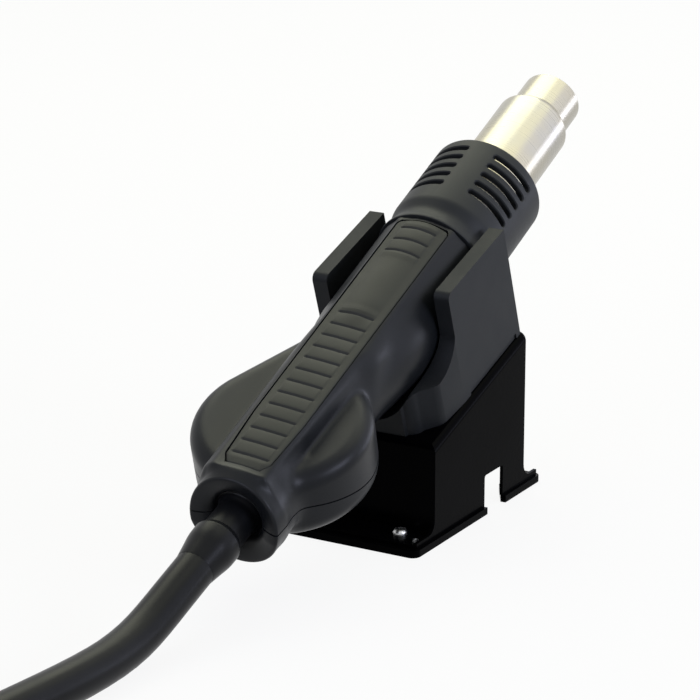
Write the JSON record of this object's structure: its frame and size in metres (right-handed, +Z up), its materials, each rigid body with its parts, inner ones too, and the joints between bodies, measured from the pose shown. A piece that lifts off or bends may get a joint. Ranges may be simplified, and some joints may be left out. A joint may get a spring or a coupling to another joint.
{
  "type": "hot air handpiece with holder",
  "caption": "Hot air handpiece with a blower in its handle and a slotted guard, lying in a cradle on a folded steel bracket, with lead and round plug.",
  "frame": {"origin": "middle of the base plate's underside, on the standing surface", "axes": "+Y the way the nozzle points in plan, +Z up, +X to the right seen from the lead's end"},
  "size_m": [0.192, 0.4782, 0.1337],
  "materials": {
    "black_steel": "gloss",
    "screw_steel": "satin",
    "cradle_plastic": "matte",
    "magnet_nickel": "gloss",
    "grip_plastic": "matte",
    "inlay_rubber": "matte",
    "collar_plastic": "matte",
    "tube_steel": "satin",
    "mica": "satin",
    "ceramic": "matte",
    "heater_wire": "satin",
    "fan_plastic": "matte",
    "copper": "satin",
    "brass": "satin",
    "board": "satin",
    "reed_glass": "gloss",
    "loom": "matte",
    "lead_rubber": "satin",
    "tie_fabric": "matte",
    "plug_metal": "satin"
  },
  "bodies": {
    "holder": {"base_plate": "black_steel", "rear_feet": "black_steel", "bracket": "black_steel", "flange_screws": "screw_steel", "corner_studs": "screw_steel", "cradle": "cradle_plastic", "cradle_screws": "screw_steel", "cradle_magnet": "magnet_nickel"},
    "handpiece": {"upper_shell": "grip_plastic", "lower_shell": "grip_plastic", "grip_inlay": "inlay_rubber", "shell_screws": "screw_steel", "intake_grille": "grip_plastic", "guard_collar": "collar_plastic", "heater_tube": "tube_steel", "tube_flange": "tube_steel", "flange_bolts": "screw_steel", "mica_sleeve": "mica", "heater_core": "ceramic", "heater_winding": "heater_wire", "thermocouple": "screw_steel", "fan_cover": "fan_plastic", "fan_scroll": "fan_plastic", "motor_stator": "copper", "shaft_bearing": "brass", "control_board": "board", "reed_switch": "reed_glass", "wire_loom": "loom", "cord_boot": "lead_rubber", "lead": "lead_rubber", "lead_coil": "lead_rubber", "lead_tail": "lead_rubber", "coil_tie": "tie_fabric", "plug_boot": "lead_rubber", "plug_body": "plug_metal", "plug_insert": "fan_plastic"},
    "fan_rotor": {"impeller": "fan_plastic", "motor_shaft": "screw_steel"},
    "coupling": {"plug_nut": "plug_metal"}
  },
  "joints": [
    {"name": "handpiece_lift", "type": "slide", "parent": "holder", "child": "handpiece", "axis": [0, -0.3256, 0.9455], "range_m": [0, 0.05]},
    {"name": "fan_spin", "type": "hinge", "parent": "handpiece", "child": "fan_rotor", "pos_m": [-0.00397, -0.07462, 0.04274], "axis": [0.1288, -0.4065, 0.9045], "continuous": true},
    {"name": "coupling_spin", "type": "hinge", "parent": "handpiece", "child": "coupling", "pos_m": [-0.151, -0.206, 0.0123], "axis": [0, 1, 0], "continuous": true}
  ]
}
